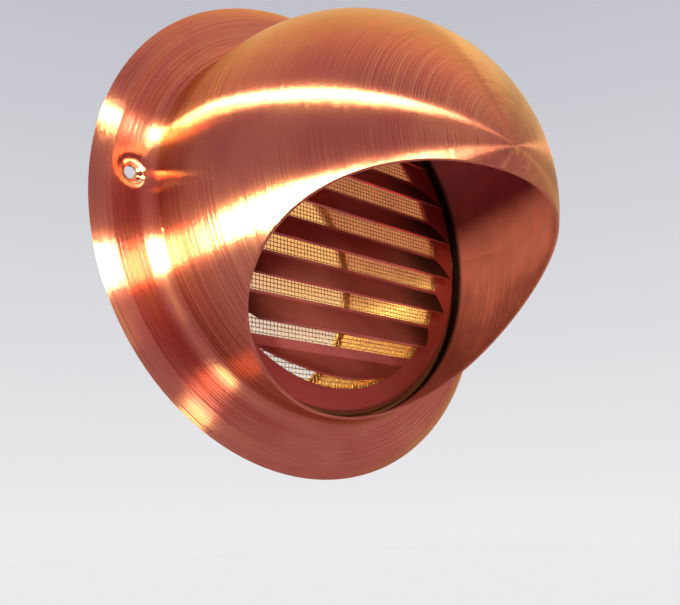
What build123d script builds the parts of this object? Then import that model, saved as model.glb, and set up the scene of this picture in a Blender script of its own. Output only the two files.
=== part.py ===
# A spherical wall vent pressed from copper sheet: hood, louvre plate, insect mesh and duct spigot.
# The wall is the plane y = 0, the hood stands out towards -Y, +Z is up, and the duct runs along +Y.
import os
from math import cos, radians, sin, sqrt, tan

from build123d import *

# Driving dimensions, in millimetres and degrees

sheet = 0.8                  # thickness of the hood, the louvre plate and the spigot

spigot_r = 54.8              # outside radius of the spigot, for a 110 mm duct
spigot_reach = 46.8          # how far the spigot goes behind the wall plane
spigot_flange_width = 5.2    # ring turned out at the front of the spigot
spigot_bend_r = 2.0          # outside bend between the spigot and its flange
neck_step = 2.0              # how much the spigot's end is drawn in
neck_length = 1.5            # straight part of the drawn-in end
neck_slope = 1.3             # sloping part of the drawn-in end

mesh_thickness = 0.5         # the two layers of wire together
mesh_layer = 0.3             # each layer, which bites into the other
mesh_wire = 1.2              # width of one ridge of the mesh
mesh_pitch = 10.0            # spacing of the ridges
mesh_edge = 3.0              # plain border that is clamped
mesh_inset = 1.0             # the mesh stops this far inside the spigot's flange

plate_rise = 4.7             # louvre plate's face in front of the hood's flange ring
plate_bend_r = 2.5           # outside bend at the louvre plate's rim
collar_clearance = 3.0       # between the spigot's flange and the turned-back rim
rim_gap = 1.15               # between the louvre plate's rim and the hood's wall
foot_bend_r = 1.5            # inside bend where the rim turns out again
weld_seat = 4.0              # width of the louvre plate's weld seat on the hood's flange ring
dimple_clearance = 1.0       # between the louvre plate and the back of a screw's dimple

louvre_pitch = 14.0          # spacing of the louvres
louvre_strip = 1.25          # flat strip left between two louvres
louvre_foot = 10.4           # height of the lowest louvre, which ends in the round border
louvre_foot_strip = 3.5      # flat strip above the lowest louvre
louvre_angle = 37.5          # how far each blade is bent out of the plate
louvre_border = 5.9          # least flat border below the louvres
louvre_drop = 2.6            # the louvre circle's centre is this far below the duct's axis

blend_r = 5.0                # concave blend between the flange ring and the dome
straight_wall = 11.8         # straight wall between the blend and the half ball
ring_width = 7.75            # flat part of the flange ring
lip_width = 5.5              # bowed outer lip
lip_height = 3.0             # the flange ring's face in front of the wall
lip_bow_r = 12.0             # radius of the lip's bow

mouth_front_drop = 8.0       # the mouth's front edge below the axis
mouth_front_angle = 10.5     # slope of the mouth's edge at the front
mouth_foot_angle = 56.0      # slope of the mouth's edge at the foot
mouth_foot_gap = 2.0         # straight wall left below the mouth's foot

screw_inset = 1.25           # screw centres outside the blend
screw_rise = 2.6             # screw centres above the axis
screw_hole_d = 4.2
dimple_d = 8.0
dimple_angle = 115.0         # full angle of the dimple's cone

# Sizes that follow from them

spigot_flange_r = spigot_r + spigot_flange_width
rim_r = spigot_flange_r + collar_clearance + sheet
dome_r = rim_r + rim_gap + sheet
ring_inner_r = dome_r + blend_r
ring_outer_r = ring_inner_r + ring_width
flange_r = ring_outer_r + lip_width
dome_centre = lip_height + blend_r + straight_wall

ring_back = lip_height - sheet
plate_front = lip_height + plate_rise
plate_back = plate_front - sheet
mesh_back = plate_back - mesh_thickness
spigot_front = sheet - mesh_back
plate_flange_r = ring_inner_r + weld_seat

louvre_r = rim_r - plate_bend_r - louvre_border - louvre_drop
screw_r = ring_inner_r + screw_inset
dimple_depth = (dimple_d - screw_hole_d) / 2 / tan(radians(dimple_angle / 2))
clear = 2 * flange_r         # past every surface, for cutting right through

os.makedirs("parts", exist_ok=True)


def mouth_corner(front, foot):
    """Where the tangents at the two ends of the mouth's edge meet, seen from the side."""
    run = foot[0] - front[0]
    drop = front[1] - foot[1]
    along_front = radians(mouth_front_angle)
    along_foot = radians(mouth_foot_angle)
    reach = (run * sin(along_foot) - drop * cos(along_foot)) / sin(along_foot - along_front)
    return (front[0] + reach * cos(along_front), front[1] - reach * sin(along_front))


# Hood: lip, flange ring, blend, wall and half ball in one pressed shell

mouth_front = (-dome_centre - sqrt(dome_r**2 - mouth_front_drop**2), -mouth_front_drop)
mouth_foot = (-lip_height - blend_r - mouth_foot_gap, -dome_r)
screw_seats = [
    Plane(origin=(side * screw_r, -lip_height, screw_rise), x_dir=(1, 0, 0), z_dir=(0, -1, 0))
    for side in (-1, 1)
]

with BuildPart() as hood:
    with BuildSketch(Plane.XY):
        with BuildLine():
            lip = RadiusArc((flange_r, 0), (ring_outer_r, -lip_height), lip_bow_r)
            ring = Line(lip @ 1, (ring_inner_r, -lip_height))
            blend = TangentArc(ring @ 1, (dome_r, -lip_height - blend_r), tangent=ring % 1)
            wall = Line(blend @ 1, (dome_r, -dome_centre))
            TangentArc(wall @ 1, (0, -dome_centre - dome_r), tangent=wall % 1)
            Line((flange_r, 0), lip @ 0 - (lip % 0) * sheet)
            offset(amount=sheet, side=Side.RIGHT)
        make_face()
    revolve(axis=Axis.Y)
    # The lip's edge is trimmed flat where it meets the wall
    split(bisect_by=Plane.XZ, keep=Keep.TOP)
    # The mouth is cut from below along one smooth curve
    with BuildSketch(Plane.YZ):
        with BuildLine():
            Bezier(mouth_front, mouth_corner(mouth_front, mouth_foot), mouth_foot)
            Polyline(
                mouth_foot,
                (mouth_foot[0], -clear),
                (-clear, -clear),
                (-clear, mouth_front[1]),
                mouth_front,
            )
        make_face()
    extrude(amount=clear, both=True, mode=Mode.SUBTRACT)
    # Each screw hole sits in a pressed dimple, which stands out at the back
    for seat in screw_seats:
        with Locations(seat.offset(-sheet)):
            Cone(
                (screw_hole_d + sheet) / 2,
                (dimple_d + sheet) / 2,
                dimple_depth,
                align=(Align.CENTER, Align.CENTER, Align.MAX),
            )
        with Locations(seat):
            CounterSinkHole(screw_hole_d / 2, dimple_d / 2, lip_height, dimple_angle)

# Louvre plate: a disc with a turned-back rim, a weld flange and bent-out blades

foot_hinge = -louvre_drop - louvre_r + louvre_foot
first_sill = foot_hinge + louvre_foot_strip
louvre_top = louvre_r - louvre_drop
row_count = int((louvre_top - first_sill + louvre_strip) / louvre_pitch)
louvres = [(foot_hinge, louvre_foot)]
for row in range(row_count):
    sill = first_sill + row * louvre_pitch
    blade = louvre_pitch - louvre_strip
    louvres.append((sill + blade, blade))

with BuildPart() as louvre_plate:
    with BuildSketch(Plane.XY):
        with BuildLine():
            face = Line((0, -plate_front), (rim_r - plate_bend_r, -plate_front))
            bend = TangentArc(face @ 1, (rim_r, -plate_front + plate_bend_r), tangent=face % 1)
            rim = Line(bend @ 1, (rim_r, -ring_back - foot_bend_r))
            turn = TangentArc(rim @ 1, (rim_r + foot_bend_r, -ring_back), tangent=rim % 1)
            Line(turn @ 1, (plate_flange_r, -ring_back))
            offset(amount=sheet, side=Side.LEFT)
        make_face()
    revolve(axis=Axis.Y)
    # The weld flange lies on the back of the hood's flange ring and is notched round the dimples
    with BuildSketch(Plane.XZ):
        with Locations((-screw_r, screw_rise), (screw_r, screw_rise)):
            Circle((dimple_d + sheet) / 2 + dimple_clearance)
    extrude(amount=lip_height, mode=Mode.SUBTRACT)
    # Each blade is cut free on three sides and bent out about its top edge
    for hinge, height in louvres:
        circle_centre = -louvre_drop - hinge
        with BuildSketch(Plane.XZ.offset(plate_back).shift_origin((0, -plate_back, hinge))):
            with Locations((0, circle_centre)):
                Circle(louvre_r)
            Rectangle(clear, height, align=(Align.CENTER, Align.MAX), mode=Mode.INTERSECT)
        extrude(amount=sheet, mode=Mode.SUBTRACT)
    tilt = radians(louvre_angle)
    for hinge, height in louvres:
        circle_centre = -louvre_drop - hinge
        blade_plane = Plane(
            origin=(0, -plate_back, hinge), x_dir=(1, 0, 0), z_dir=(0, -cos(tilt), sin(tilt))
        )
        with BuildSketch(blade_plane):
            with Locations((0, circle_centre)):
                Circle(louvre_r)
            Rectangle(clear, height, align=(Align.CENTER, Align.MAX), mode=Mode.INTERSECT)
        extrude(amount=sheet)

# Insect mesh: two crossing layers of ridges in a plain border

mesh_r = spigot_flange_r - mesh_inset
mesh_open_r = mesh_r - mesh_edge
ridge_count = 2 * int(mesh_open_r / mesh_pitch) + 1

with BuildPart() as insect_mesh:
    with BuildSketch(Plane.XZ.offset(mesh_back)):
        Circle(mesh_r)
        Circle(mesh_open_r, mode=Mode.SUBTRACT)
    extrude(amount=mesh_thickness)
    with BuildSketch(Plane.XZ.offset(mesh_back)):
        with GridLocations(mesh_pitch, 0, ridge_count, 1):
            Rectangle(mesh_wire, 2 * mesh_r)
        Circle(mesh_r, mode=Mode.INTERSECT)
    extrude(amount=mesh_layer)
    with BuildSketch(Plane.XZ.offset(plate_back)):
        with GridLocations(0, mesh_pitch, 1, ridge_count):
            Rectangle(2 * mesh_r, mesh_wire)
        Circle(mesh_r, mode=Mode.INTERSECT)
    extrude(amount=-mesh_layer)

# Spigot: drawn tube with a turned-out flange and a necked-in end

with BuildPart() as spigot:
    with BuildSketch(Plane.XY):
        with BuildLine():
            flange = Line((spigot_flange_r, spigot_front), (spigot_r + spigot_bend_r, spigot_front))
            bend = TangentArc(flange @ 1, (spigot_r, spigot_front + spigot_bend_r), tangent=flange % 1)
            Polyline(
                bend @ 1,
                (spigot_r, spigot_reach - neck_length - neck_slope),
                (spigot_r - neck_step, spigot_reach - neck_length),
                (spigot_r - neck_step, spigot_reach),
            )
            offset(amount=sheet, side=Side.LEFT)
        make_face()
    revolve(axis=Axis.Y)

hood.part.label = "hood"
louvre_plate.part.label = "louvre_plate"
insect_mesh.part.label = "insect_mesh"
spigot.part.label = "spigot"

export_step(hood.part, "parts/hood.step")
export_step(louvre_plate.part, "parts/louvre_plate.step")
export_step(insect_mesh.part, "parts/insect_mesh.step")
export_step(spigot.part, "parts/spigot.step")
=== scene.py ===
import math

import bpy
from mathutils import Matrix, Vector


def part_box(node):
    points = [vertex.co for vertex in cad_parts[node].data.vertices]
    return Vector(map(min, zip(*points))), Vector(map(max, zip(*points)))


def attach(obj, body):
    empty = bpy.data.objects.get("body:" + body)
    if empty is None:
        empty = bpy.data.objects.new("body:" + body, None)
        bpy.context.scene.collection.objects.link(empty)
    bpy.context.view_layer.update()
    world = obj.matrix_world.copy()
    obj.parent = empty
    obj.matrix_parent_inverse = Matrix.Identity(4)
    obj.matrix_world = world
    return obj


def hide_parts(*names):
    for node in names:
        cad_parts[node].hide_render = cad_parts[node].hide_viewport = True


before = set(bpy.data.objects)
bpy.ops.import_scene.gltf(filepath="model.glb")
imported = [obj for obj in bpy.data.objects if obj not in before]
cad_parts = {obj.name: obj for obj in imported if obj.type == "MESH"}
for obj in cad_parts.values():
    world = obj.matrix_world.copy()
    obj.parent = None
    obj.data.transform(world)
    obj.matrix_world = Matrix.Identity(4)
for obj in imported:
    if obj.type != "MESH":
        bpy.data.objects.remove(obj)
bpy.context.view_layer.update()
scene = bpy.context.scene
MM = 0.001

# Camera, from the photograph: angles in degrees, the aim as a step from the part's origin
CAMERA_AZIMUTH = -41.43
CAMERA_ELEVATION = -16.0
CAMERA_ROLL = -1.63
CAMERA_DISTANCE = 281.4 * MM
AIM_RIGHT = 8.03 * MM
AIM_UP = -23.66 * MM
LENS = 42.5
SENSOR = 36.0
CLIP_START = 10 * MM

# Insect mesh
WIRE_PITCH = 1.4 * MM
WIRE_WIDTH = 0.30 * MM
WIRE_STEPS = 2
WIRE_LEAST = 2

# Brushed grooves, and a point behind the shell from which its outer faces look away
FINE_GROOVE = 0.07 * MM
COARSE_GROOVE = 0.28 * MM
RIDGE_GROOVE = 0.07 * MM
RIDGE_LOW = 0.4
RIDGE_HIGH = 0.6
RAGGED_TURNS = 3.0
GRAIN_TURN = 0.25
WEAR = 0.05
BLOTCH_SHARE = 0.75
GROOVE_SHARE = 0.25
AXIS_CLEAR = 0.1 * MM
SHELL_BEHIND = (0.0, 20 * MM, 0.0)

# Copper's tone and gloss; the noise is spread over its middle range
COPPER_EDGE = (1.0, 0.95, 0.5)
NOISE_LOW = 0.3
NOISE_HIGH = 0.7
BLOTCH_SCALE = 45.0
MOTTLE_SCALE = 130.0
INSIDE_SHADE = 0.82
GLOSS_LOW = 0.9
GLOSS_HIGH = 1.1

# Painted shade in the crevice between the hood and the louvre plate, by depth in front of the wall
CREVICE_START = -8.4 * MM
CREVICE_END = -11.0 * MM
CREVICE_R = 66.0 * MM
CREVICE_SHADE_COLOUR = (0.025, 0.006, 0.006)

# Painted shade that darkens the louvre plate towards its rim by the crevice, by distance from the duct's axis
RIM_SHADE_START = 44.0 * MM
RIM_SHADE_END = 55.0 * MM
PLATE_RIM_R = 63.0 * MM
RIM_SHADE_RAGGED = 3.0 * MM
RIM_SHADE_COLOUR = (0.31, 0.038, 0.042)

# Painted shade on the louvres' ends, by distance from the middle, in front of the plate's face
END_SHADE_START = 24.0 * MM
END_SHADE_END = 46.0 * MM
END_SHADE_FRONT = -8.2 * MM
END_SHADE_DEPTH = 0.85
END_SHADE_COLOUR = (0.04, 0.009, 0.009)

# Screw holes: a painted highlight ring in each dimple, in shallow dishes
SCREW_X = 72.0 * MM
SCREW_Z = 2.6 * MM
DIMPLE_R = 4.05 * MM
DISH_R = 6.5 * MM
DISH_SLOPE = 0.14
RING_R = 3.4 * MM
RING_HALF = 0.3 * MM
DIMPLE_HIGHLIGHT_COLOUR = (0.6, 0.45, 0.31)

# Lamps and studio; ahead is the level direction in which the camera looks
LAMP_COLOUR = (0.64, 1.0, 0.48)
RIM_COLOUR = (0.8, 1.0, 0.9)
BACKDROP_LOW = (0.84, 0.84, 0.85)
BACKDROP_HIGH = (0.52, 0.52, 0.58)
BACKDROP_TOP = 0.62
OVERHEAD_FROM = 0.8
OVERHEAD = (1.3, 1.2, 1.0)
AHEAD_X = 0.66
AHEAD_Y = 0.75
AHEAD_START = -0.6
AHEAD_END = 0.15
ROOM_LEFT_END = 0.1
ROOM_RIGHT_END = 0.8
ROOM_LEFT = (0.58, 0.53, 0.57)
ROOM_RIGHT = (0.58, 0.53, 0.56)
GLOW_TOWARDS = (0.613, 0.687, 0.389)
GLOW_CORE = math.cos(math.radians(4.0))
GLOW_EDGE = math.cos(math.radians(13.5))
GLOW_COLOUR = (1.0, 0.5, 0.17)
FLOOR_Z = -600 * MM
FLOOR_SIZE = 40.0
FLOOR_GRAIN = 3.0
FLOOR_DARK = (0.335, 0.37, 0.41)
FLOOR_LIGHT = (0.35, 0.385, 0.425)
FLOOR_NEAR = 0.8
FLOOR_FAR = 2.2
FLOOR_GLOW = 0.53
FLOOR_NEAR_GLOW = 0.36
FLOOR_ROOM_GLOW = 0.36


# Node helpers

def new_material(name):
    material = bpy.data.materials.new(name)
    material.use_nodes = True
    tree = material.node_tree
    tree.nodes.clear()
    output = tree.nodes.new("ShaderNodeOutputMaterial")
    shader = tree.nodes.new("ShaderNodeBsdfPrincipled")
    tree.links.new(shader.outputs["BSDF"], output.inputs["Surface"])
    return material, tree, shader


def math_node(tree, operation, *values):
    node = tree.nodes.new("ShaderNodeMath")
    node.operation = operation
    for socket, value in zip(node.inputs, values):
        if hasattr(value, "links"):
            tree.links.new(value, socket)
        else:
            socket.default_value = value
    return node.outputs[0]


def hypotenuse(tree, first, second):
    squares = (math_node(tree, "MULTIPLY", side, side) for side in (first, second))
    return math_node(tree, "SQRT", math_node(tree, "ADD", *squares))


def look_ahead(tree, x, y):
    """How far a point or direction lies ahead of the part, as the camera looks."""
    by_x = math_node(tree, "MULTIPLY", x, AHEAD_X)
    by_y = math_node(tree, "MULTIPLY", y, AHEAD_Y)
    return math_node(tree, "ADD", by_x, by_y)


def combine(tree, x, y, z):
    node = tree.nodes.new("ShaderNodeCombineXYZ")
    for socket, value in zip(node.inputs, (x, y, z)):
        if hasattr(value, "links"):
            tree.links.new(value, socket)
        else:
            socket.default_value = value
    return node.outputs[0]


def noise(tree, vector, scale, detail=3.0):
    node = tree.nodes.new("ShaderNodeTexNoise")
    node.inputs["Scale"].default_value = scale
    node.inputs["Detail"].default_value = detail
    tree.links.new(vector, node.inputs["Vector"])
    return node.outputs["Fac"]


def spread(tree, value, low, high):
    """A noise value brought to the range from low to high."""
    node = tree.nodes.new("ShaderNodeMapRange")
    node.inputs["From Min"].default_value = NOISE_LOW
    node.inputs["From Max"].default_value = NOISE_HIGH
    node.inputs["To Min"].default_value = low
    node.inputs["To Max"].default_value = high
    tree.links.new(value, node.inputs["Value"])
    return node.outputs["Result"]


def ranged(tree, value, first, last, low, high):
    """Soft step from low at first to high at last."""
    node = tree.nodes.new("ShaderNodeMapRange")
    node.interpolation_type = "SMOOTHSTEP"
    node.inputs["From Min"].default_value = first
    node.inputs["From Max"].default_value = last
    node.inputs["To Min"].default_value = low
    node.inputs["To Max"].default_value = high
    tree.links.new(value, node.inputs["Value"])
    return node.outputs["Result"]


def shaded(tree, factor, colour, shade):
    """A colour socket that turns to a fixed shade where the factor is 1."""
    node = tree.nodes.new("ShaderNodeMix")
    node.data_type = "RGBA"
    tree.links.new(factor, node.inputs["Factor"])
    tree.links.new(colour, node.inputs["A"])
    node.inputs["B"].default_value = (*shade, 1)
    return node.outputs["Result"]


def half_up(tree, value):
    """A value from -1 to 1 brought to the range from 0 to 1."""
    return math_node(tree, "ADD", math_node(tree, "MULTIPLY", value, 0.5), 0.5)


def mix_colour(tree, factor, first, second):
    node = tree.nodes.new("ShaderNodeMix")
    node.data_type = "RGBA"
    tree.links.new(factor, node.inputs["Factor"])
    node.inputs["A"].default_value = (*first, 1)
    node.inputs["B"].default_value = (*second, 1)
    return node.outputs["Result"]


def mix_sockets(tree, factor, first, second):
    node = tree.nodes.new("ShaderNodeMix")
    node.data_type = "RGBA"
    tree.links.new(factor, node.inputs["Factor"])
    tree.links.new(first, node.inputs["A"])
    tree.links.new(second, node.inputs["B"])
    return node.outputs["Result"]


def colour_ramp(tree, value, *stops):
    node = tree.nodes.new("ShaderNodeValToRGB")
    elements = node.color_ramp.elements
    for place, (position, colour) in enumerate(stops):
        stop = elements[place] if place < len(elements) else elements.new(position)
        stop.position = position
        stop.color = (*colour, 1)
    tree.links.new(value, node.inputs[0])
    return node.outputs["Color"]


def object_point(tree):
    coordinates = tree.nodes.new("ShaderNodeTexCoord")
    split = tree.nodes.new("ShaderNodeSeparateXYZ")
    tree.links.new(coordinates.outputs["Object"], split.inputs[0])
    return coordinates.outputs["Object"], split.outputs


def vector_node(tree, operation, *values):
    node = tree.nodes.new("ShaderNodeVectorMath")
    node.operation = operation
    for socket, value in zip(node.inputs, values):
        if hasattr(value, "links"):
            tree.links.new(value, socket)
        else:
            socket.default_value = value
    return node.outputs["Value" if operation == "DOT_PRODUCT" else "Vector"]


def scaled(tree, vector, factor):
    node = tree.nodes.new("ShaderNodeVectorMath")
    node.operation = "SCALE"
    tree.links.new(vector, node.inputs[0])
    tree.links.new(factor, node.inputs["Scale"])
    return node.outputs["Vector"]


def turned_copper(name, light, dark, inside, roughness, inside_roughness, anisotropy, stretch, wander,
                  outside_r, shell=True, crevice_shade=0.0, rim_and_end_shade=0.0, valley=1.0):
    """Copper brushed in rings about the duct's axis.

    Fine grooves tip the surface along the meridian by stretch, and a little sideways by wander,
    so that lamps show as long streaks with ragged edges. The inside of the shell has its own tone.
    """
    material, tree, shader = new_material(name)
    point, (x, y, z) = object_point(tree)
    radius = hypotenuse(tree, x, z)
    safe = math_node(tree, "MAXIMUM", radius, AXIS_CLEAR)
    across_x = math_node(tree, "DIVIDE", x, safe)
    across_z = math_node(tree, "DIVIDE", z, safe)
    along = math_node(tree, "ADD", radius, y)

    # Grooves in rings
    fine_step = math_node(tree, "MULTIPLY", along, 1 / FINE_GROOVE)
    fine = noise(tree, combine(tree, across_x, across_z, fine_step), 1.0, 1.0)
    coarse_step = math_node(tree, "MULTIPLY", along, 1 / COARSE_GROOVE)
    turn_x = math_node(tree, "MULTIPLY", across_x, RAGGED_TURNS)
    turn_z = math_node(tree, "MULTIPLY", across_z, RAGGED_TURNS)
    ragged = noise(tree, combine(tree, turn_x, turn_z, coarse_step), 1.0, 2.0)
    normal = tree.nodes.new("ShaderNodeNewGeometry").outputs["Normal"]
    ring = combine(tree, across_z, 0.0, math_node(tree, "MULTIPLY", across_x, -1.0))
    meridian = vector_node(tree, "CROSS_PRODUCT", ring, normal)
    tipped = vector_node(tree, "ADD", normal, scaled(tree, meridian, spread(tree, fine, -stretch, stretch)))
    tipped = vector_node(tree, "ADD", tipped, scaled(tree, ring, spread(tree, ragged, -wander, wander)))

    # Shallow dishes round the screw holes
    sideways = math_node(tree, "ABSOLUTE", x)
    beside = math_node(tree, "SUBTRACT", sideways, SCREW_X)
    above = math_node(tree, "SUBTRACT", z, SCREW_Z)
    from_screw = hypotenuse(tree, beside, above)
    outwards = math_node(tree, "MULTIPLY", beside, math_node(tree, "SIGN", x))
    towards = vector_node(tree, "NORMALIZE", combine(tree, outwards, 0.0, above))
    slope = math_node(tree, "MULTIPLY", ranged(tree, from_screw, DISH_R, DIMPLE_R, 0.0, -DISH_SLOPE),
                      math_node(tree, "GREATER_THAN", from_screw, DIMPLE_R))
    tipped = vector_node(tree, "ADD", tipped, scaled(tree, towards, slope))
    tree.links.new(vector_node(tree, "NORMALIZE", tipped), shader.inputs["Normal"])

    # Burnished ridges on the outside, mottled tone on the inside
    blotches = noise(tree, point, BLOTCH_SCALE, 2.0)
    worn = math_node(tree, "ADD", math_node(tree, "MULTIPLY", spread(tree, blotches, 0.0, 1.0), BLOTCH_SHARE),
                     math_node(tree, "MULTIPLY", spread(tree, ragged, 0.0, 1.0), GROOVE_SHARE))
    ridge_step = math_node(tree, "MULTIPLY", along, 1 / RIDGE_GROOVE)
    ridge = noise(tree, combine(tree, across_x, across_z, ridge_step), 1.0, 0.0)
    rubbed = math_node(tree, "ADD", ridge, spread(tree, worn, -WEAR, WEAR))
    burnished = ranged(tree, rubbed, RIDGE_LOW, RIDGE_HIGH, 0.0, 1.0)
    outer = mix_colour(tree, burnished, dark, light)
    side = math_node(tree, "GREATER_THAN", radius, outside_r)
    if shell:
        away = vector_node(tree, "SUBTRACT", point, SHELL_BEHIND)
        outward = vector_node(tree, "DOT_PRODUCT", normal, away)
        side = math_node(tree, "MAXIMUM", side, math_node(tree, "GREATER_THAN", outward, 0.0))
    mottled = noise(tree, point, MOTTLE_SCALE, 3.0)
    shade = tuple(INSIDE_SHADE * part for part in inside)
    inner = mix_colour(tree, spread(tree, mottled, 0.0, 1.0), shade, inside)

    # Painted shade in the crevice, a painted highlight ring in the dimples, painted shade towards the plate's
    # rim and on the louvres' ends
    crevice = math_node(tree, "MULTIPLY", ranged(tree, y, CREVICE_END, CREVICE_START, 0.0, crevice_shade),
                        math_node(tree, "LESS_THAN", radius, CREVICE_R))
    # Painted highlight: a bright ring inside each screw dimple
    dimple_highlight = math_node(tree, "COMPARE", from_screw, RING_R, RING_HALF)
    tone = mix_sockets(tree, side, shaded(tree, crevice, inner, CREVICE_SHADE_COLOUR),
                       shaded(tree, dimple_highlight, outer, DIMPLE_HIGHLIGHT_COLOUR))
    # Painted shade: the plate darkens towards its rim by the crevice, with a ragged edge
    reach = math_node(tree, "ADD", radius, spread(tree, mottled, -RIM_SHADE_RAGGED, RIM_SHADE_RAGGED))
    rim = math_node(tree, "MULTIPLY", ranged(tree, reach, RIM_SHADE_START, RIM_SHADE_END, 0.0, rim_and_end_shade),
                    math_node(tree, "LESS_THAN", radius, PLATE_RIM_R))
    # Painted shade: the louvres' ends go near black in front of the plate's face
    end_shading = ranged(tree, sideways, END_SHADE_START, END_SHADE_END, 0.0, END_SHADE_DEPTH * rim_and_end_shade)
    end_shade = math_node(tree, "MULTIPLY", end_shading, math_node(tree, "LESS_THAN", y, END_SHADE_FRONT))
    rim_shaded = shaded(tree, rim, tone, RIM_SHADE_COLOUR)
    tree.links.new(shaded(tree, end_shade, rim_shaded, END_SHADE_COLOUR), shader.inputs["Base Color"])

    # Gloss, drawn out across the rings
    change = math_node(tree, "MULTIPLY", side, roughness - inside_roughness)
    matt = math_node(tree, "ADD", inside_roughness, change)
    dull = math_node(tree, "ADD", valley, math_node(tree, "MULTIPLY", burnished, 1.0 - valley))
    patchy = spread(tree, blotches, GLOSS_LOW, GLOSS_HIGH)
    gloss = math_node(tree, "MULTIPLY", math_node(tree, "MULTIPLY", matt, dull), patchy)
    tree.links.new(gloss, shader.inputs["Roughness"])
    tangent = tree.nodes.new("ShaderNodeTangent")
    tangent.direction_type = "RADIAL"
    tangent.axis = "Y"
    tree.links.new(tangent.outputs["Tangent"], shader.inputs["Tangent"])
    shader.inputs["Metallic"].default_value = 1.0
    shader.inputs["Specular Tint"].default_value = (*COPPER_EDGE, 1)
    shader.inputs["Anisotropic"].default_value = anisotropy
    shader.inputs["Anisotropic Rotation"].default_value = GRAIN_TURN
    return material


def floor_material():
    """Pale matt floor that keeps the part's shadow and brightens far off towards the backdrop."""
    material, tree, shader = new_material("pale_floor")
    point, (x, y, _) = object_point(tree)
    colour = mix_colour(tree, noise(tree, point, FLOOR_GRAIN), FLOOR_DARK, FLOOR_LIGHT)
    tree.links.new(colour, shader.inputs["Base Color"])
    shader.inputs["Roughness"].default_value = 1.0
    shader.inputs["Specular IOR Level"].default_value = 0.0
    path = tree.nodes.new("ShaderNodeLightPath")
    seen = math_node(tree, "MAXIMUM", path.outputs["Is Camera Ray"], path.outputs["Is Glossy Ray"])
    seen = math_node(tree, "MAXIMUM", seen, path.outputs["Is Transmission Ray"])
    away = hypotenuse(tree, x, y)
    ahead = math_node(tree, "DIVIDE", look_ahead(tree, x, y), away)
    depth = ranged(tree, ahead, AHEAD_START, AHEAD_END, FLOOR_ROOM_GLOW, FLOOR_GLOW)
    far = math_node(tree, "MULTIPLY", ranged(tree, away, FLOOR_NEAR, FLOOR_FAR, 0.0, 1.0), depth)
    glow = math_node(tree, "MAXIMUM", far, FLOOR_NEAR_GLOW)
    shader.inputs["Emission Color"].default_value = (1, 1, 1, 1)
    tree.links.new(math_node(tree, "MULTIPLY", seen, glow), shader.inputs["Emission Strength"])
    return material


# Pieces

def woven_mesh(name, radius, front, back):
    """Wires that pass over and under each other, in a round disc across the duct."""
    vertices, faces = [], []
    middle = (front + back) / 2
    swing = (back - front) / 4
    half = WIRE_WIDTH / 2
    count = int(radius / WIRE_PITCH)
    for direction in (0, 1):
        for index in range(-count, count + 1):
            across = index * WIRE_PITCH
            reach = int(math.sqrt(radius**2 - across**2) / WIRE_PITCH)
            if reach < WIRE_LEAST:
                continue
            first = len(vertices)
            steps = range(-reach * WIRE_STEPS, reach * WIRE_STEPS + 1)
            for step in steps:
                along = step * WIRE_PITCH / WIRE_STEPS
                phase = math.pi * (step / WIRE_STEPS + index + direction)
                depth = middle + swing * math.cos(phase)
                for side, lift in ((-half, 0), (0, -swing), (half, 0), (0, swing)):
                    if direction == 0:
                        vertices.append((along, depth + lift, across + side))
                    else:
                        vertices.append((across + side, depth + lift, along))
            for step in range(len(steps) - 1):
                base = first + step * 4
                for corner in range(4):
                    following = (corner + 1) % 4
                    face = (base + corner, base + following, base + 4 + following, base + 4 + corner)
                    faces.append(face if direction else face[::-1])
    data = bpy.data.meshes.new(name)
    data.from_pydata(vertices, [], faces)
    data.polygons.foreach_set("use_smooth", [True] * len(data.polygons))
    piece = bpy.data.objects.new(name, data)
    scene.collection.objects.link(piece)
    return piece


def dress(node, material):
    """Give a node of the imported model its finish."""
    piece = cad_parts[node]
    piece.data.materials.clear()
    piece.data.materials.append(material)


# Stage

def place_camera():
    azimuth, elevation, roll = (
        math.radians(angle) for angle in (CAMERA_AZIMUTH, CAMERA_ELEVATION, CAMERA_ROLL)
    )
    back = Vector((
        math.sin(azimuth) * math.cos(elevation),
        -math.cos(azimuth) * math.cos(elevation),
        math.sin(elevation),
    ))
    level = Vector((math.cos(azimuth), math.sin(azimuth), 0))
    upright = back.cross(level)
    right = level * math.cos(roll) + upright * math.sin(roll)
    up = upright * math.cos(roll) - level * math.sin(roll)
    spot = right * AIM_RIGHT + up * AIM_UP + back * CAMERA_DISTANCE
    data = bpy.data.cameras.new("camera")
    data.lens = LENS
    data.sensor_width = SENSOR
    data.clip_start = CLIP_START
    camera = bpy.data.objects.new("camera", data)
    camera.matrix_world = Matrix((
        (right.x, up.x, back.x, spot.x),
        (right.y, up.y, back.y, spot.y),
        (right.z, up.z, back.z, spot.z),
        (0, 0, 0, 1),
    ))
    scene.collection.objects.link(camera)
    scene.camera = camera


def soft_box(name, towards, along, distance, length, width, radiance, colour):
    """A flat studio lamp that faces the part; radiance is the brightness of its face."""
    data = bpy.data.lights.new(name, "AREA")
    data.shape = "RECTANGLE"
    data.size = length
    data.size_y = width
    data.energy = radiance * math.pi * length * width
    data.color = colour
    lamp = bpy.data.objects.new(name, data)
    z = Vector(towards).normalized()
    y = z.cross(Vector(along)).normalized()
    x = y.cross(z)
    spot = z * distance
    lamp.matrix_world = Matrix((
        (x.x, y.x, z.x, spot.x),
        (x.y, y.y, z.y, spot.y),
        (x.z, y.z, z.z, spot.z),
        (0, 0, 0, 1),
    ))
    lamp.visible_camera = False
    lamp.visible_diffuse = False
    scene.collection.objects.link(lamp)


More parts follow.
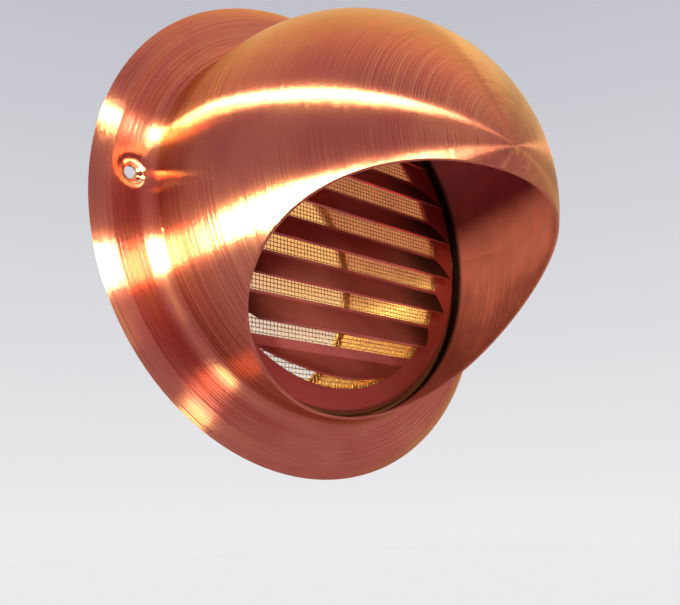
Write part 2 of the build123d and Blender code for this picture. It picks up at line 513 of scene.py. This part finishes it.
def build_world():
    """A pale studio behind the part that falls off to a plainer room in front of it."""
    world = bpy.data.worlds.new("studio")
    scene.world = world
    world.use_nodes = True
    tree = world.node_tree
    tree.nodes.clear()
    output = tree.nodes.new("ShaderNodeOutputWorld")
    background = tree.nodes.new("ShaderNodeBackground")
    tree.links.new(background.outputs[0], output.inputs["Surface"])
    coordinates = tree.nodes.new("ShaderNodeTexCoord")
    split = tree.nodes.new("ShaderNodeSeparateXYZ")
    tree.links.new(coordinates.outputs["Generated"], split.inputs[0])
    x, y, z = split.outputs
    backdrop = (0.0, BACKDROP_LOW), (BACKDROP_TOP, BACKDROP_HIGH)
    upper = colour_ramp(tree, z, *backdrop, (OVERHEAD_FROM, OVERHEAD))
    depth = ranged(tree, look_ahead(tree, x, y), AHEAD_START, AHEAD_END, 0.0, 1.0)
    room = colour_ramp(tree, half_up(tree, x), (ROOM_LEFT_END, ROOM_LEFT), (ROOM_RIGHT_END, ROOM_RIGHT))
    studio = mix_sockets(tree, depth, room, upper)
    facing = vector_node(tree, "DOT_PRODUCT", coordinates.outputs["Generated"], GLOW_TOWARDS)
    glow = ranged(tree, facing, GLOW_EDGE, GLOW_CORE, 0.0, 1.0)
    tree.links.new(shaded(tree, glow, studio, GLOW_COLOUR), background.inputs["Color"])


def build_floor():
    half = FLOOR_SIZE / 2
    data = bpy.data.meshes.new("floor")
    outline = ((-half, -half), (half, -half), (half, half), (-half, half))
    corners = [(x, y, FLOOR_Z) for x, y in outline]
    data.from_pydata(corners, [], [(0, 1, 2, 3)])
    floor = bpy.data.objects.new("floor", data)
    data.materials.append(floor_material())
    scene.collection.objects.link(floor)


# Finishes

hood_copper = turned_copper(
    "hood_copper",
    light=(0.57, 0.168, 0.11),
    dark=(0.42, 0.068, 0.075),
    inside=(0.64, 0.125, 0.135),
    roughness=0.2,
    inside_roughness=0.8,
    anisotropy=1.0,
    stretch=0.42,
    wander=0.009,
    outside_r=CREVICE_R,
    # Painted shade in the crevice, at full strength
    crevice_shade=1.0,
    valley=1.15,
)
plate_copper = turned_copper(
    "plate_copper",
    light=(0.47, 0.145, 0.09),
    dark=(0.39, 0.095, 0.078),
    inside=(0.52, 0.10, 0.12),
    roughness=0.55,
    inside_roughness=0.55,
    anisotropy=0.3,
    stretch=0.05,
    wander=0.03,
    outside_r=PLATE_RIM_R,
    shell=False,
    # Painted shade towards the plate's rim and on the louvres' ends, at full strength
    rim_and_end_shade=1.0,
)
spigot_copper = turned_copper(
    "spigot_copper",
    light=(0.50, 0.145, 0.09),
    dark=(0.42, 0.105, 0.072),
    # Painted light: the inside tone is about twice as bright as the outer copper, standing in for light down
    # the duct
    inside=(1.0, 0.36, 0.15),
    roughness=0.35,
    inside_roughness=0.35,
    anisotropy=0.3,
    stretch=0.05,
    wander=0.03,
    outside_r=CREVICE_R,
)
wire_copper = turned_copper(
    "wire_copper",
    light=(0.42, 0.21, 0.085),
    dark=(0.35, 0.165, 0.07),
    inside=(0.42, 0.21, 0.085),
    roughness=0.45,
    inside_roughness=0.45,
    anisotropy=0.0,
    stretch=0.05,
    wander=0.03,
    outside_r=CREVICE_R,
)

dress("hood", hood_copper)
dress("louvre_plate", plate_copper)
dress("spigot", spigot_copper)

mesh_low, mesh_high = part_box("insect_mesh")
cloth = woven_mesh("insect_cloth", mesh_high.x - WIRE_PITCH, mesh_low.y, mesh_high.y)
cloth.data.materials.append(wire_copper)
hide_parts("insect_mesh")
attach(cloth, "root")

place_camera()
build_world()
build_floor()
soft_box(
    "upper_strip",
    towards=(-0.5, -0.55, 0.665),
    along=(-0.54, 0.62, 0.11),
    distance=0.9,
    length=0.85,
    width=0.03,
    radiance=150,
    colour=LAMP_COLOUR,
)
soft_box(
    "side_strip",
    towards=(-0.62, 0.32, 0.715),
    along=(0.17, 0.48, -0.05),
    distance=0.9,
    length=0.7,
    width=0.04,
    radiance=66,
    colour=LAMP_COLOUR,
)
soft_box(
    "left_box",
    towards=(-0.85, -0.5, -0.13),
    along=(-0.46, 0.82, -0.19),
    distance=0.8,
    length=1.0,
    width=0.17,
    radiance=108,
    colour=LAMP_COLOUR,
)
soft_box(
    "low_strip",
    towards=(0.0, -0.84, -0.54),
    along=(-0.49, 0.44, -0.68),
    distance=0.8,
    length=0.5,
    width=0.11,
    radiance=13,
    colour=LAMP_COLOUR,
)
soft_box(
    "eye_strip",
    towards=(-0.64, -0.72, -0.30),
    along=(0.4, 0.0, -0.917),
    distance=0.9,
    length=0.4,
    width=0.08,
    radiance=6,
    colour=LAMP_COLOUR,
)
soft_box(
    "rim_light",
    towards=(0.75, -0.04, 0.66),
    along=(0.3, 0.15, -0.31),
    distance=0.9,
    length=0.5,
    width=0.35,
    radiance=1.3,
    colour=RIM_COLOUR,
)
soft_box(
    "high_fill",
    towards=(0.3, -0.7, 0.65),
    along=(1, 0.4, 0),
    distance=0.9,
    length=0.6,
    width=0.6,
    radiance=0.56,
    colour=LAMP_COLOUR,
)

scene.view_settings.view_transform = "Standard"
